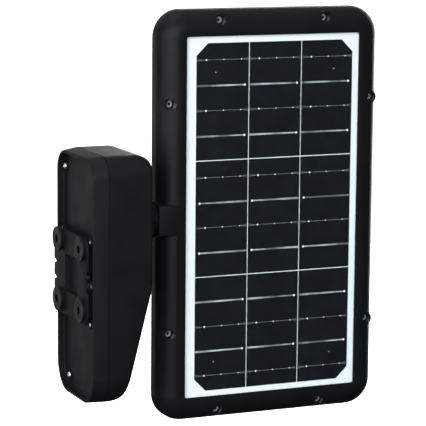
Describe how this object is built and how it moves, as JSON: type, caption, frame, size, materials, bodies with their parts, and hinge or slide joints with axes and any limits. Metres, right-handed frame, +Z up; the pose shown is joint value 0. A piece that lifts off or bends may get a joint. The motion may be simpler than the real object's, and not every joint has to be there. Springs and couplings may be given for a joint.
{
  "type": "solar-powered security camera",
  "caption": "Wall camera in a tall sealed housing that hangs on a bracket, with a rigid framed solar panel turning on a swivel at its front.",
  "frame": {"origin": "middle of the four wall pads, on the wall plane", "axes": "+Z up, +Y into the wall, -Y the way the camera looks, -X the side the solar glass faces at rest"},
  "size_m": [0.1028, 0.3142, 0.392],
  "materials": {
    "black_plastic": "fine satin texture",
    "dark_plastic": "fine matte texture",
    "gloss_black": "polished",
    "black_rubber": "matte",
    "steel": "bright zinc",
    "clear_glass": "clear, lightly textured",
    "silicon": "very dark blue, satin",
    "backsheet": "white, satin",
    "frosted": "frosted white",
    "board": "green solder mask",
    "battery_wrap": "blue sleeve",
    "lead": "satin"
  },
  "bodies": {
    "bracket": {"bracket_plate": "black_plastic", "lock_screw": "steel", "wall_pad_1": "black_rubber", "wall_pad_2": "black_rubber", "wall_pad_3": "black_rubber", "wall_pad_4": "black_rubber"},
    "housing": {"rear_cover": "black_plastic", "front_shell": "black_plastic", "mount_seat": "black_plastic", "cover_gasket": "black_rubber", "battery_tray": "dark_plastic", "main_board": "board", "antenna": "board", "speaker": "dark_plastic", "camera_fascia": "gloss_black", "lens_bezel": "dark_plastic", "lens_glass": "clear_glass", "lens_barrel": "gloss_black", "sensor_board": "board", "led_lens_left": "frosted", "led_lens_right": "frosted", "pir_lens": "frosted", "port_board": "board", "usb_socket": "steel", "card_slot": "dark_plastic", "flap_anchor": "black_rubber", "swivel_collar": "black_plastic", "wave_washer": "steel", "seat_screw_1": "steel", "cover_screw_1": "steel", "seat_screw_2": "steel", "cover_screw_2": "steel", "seat_screw_3": "steel", "cover_screw_3": "steel", "seat_screw_4": "steel", "cover_screw_4": "steel", "battery_cell_1": "battery_wrap", "battery_cell_2": "battery_wrap", "battery_cell_3": "battery_wrap"},
    "panel": {"panel_frame": "black_plastic", "panel_back": "dark_plastic", "panel_glass": "clear_glass", "panel_backsheet": "backsheet", "panel_lead": "lead", "neck_ring": "dark_plastic", "pivot_tube": "steel", "pivot_nut": "steel", "cell_string_1": "silicon", "cell_string_2": "silicon", "cell_string_3": "silicon", "panel_screw_1": "steel", "panel_screw_2": "steel", "panel_screw_3": "steel", "panel_screw_4": "steel", "panel_screw_5": "steel", "panel_screw_6": "steel", "panel_screw_7": "steel", "panel_screw_8": "steel"},
    "power_button": {"power_button": "black_rubber"},
    "service_flap": {"service_flap": "black_rubber"}
  },
  "joints": [
    {"name": "housing_lift", "type": "slide", "parent": "bracket", "child": "housing", "axis": [0, 0, 1], "range_m": [0, 0.068]},
    {"name": "panel_swivel", "type": "hinge", "parent": "housing", "child": "panel", "pos_m": [0, -0.07825, 0.047], "axis": [0, 1, 0], "range_deg": [-90, 180]},
    {"name": "power_button_press", "type": "slide", "parent": "housing", "child": "power_button", "axis": [-1, 0, 0], "range_m": [0, 0.001], "stiffness_N_per_m": 800, "springref_m": -0.0005},
    {"name": "service_flap_hinge", "type": "hinge", "parent": "housing", "child": "service_flap", "pos_m": [0.05225, -0.03085, -0.035], "axis": [0, 0, 1], "range_deg": [0, 110]}
  ]
}
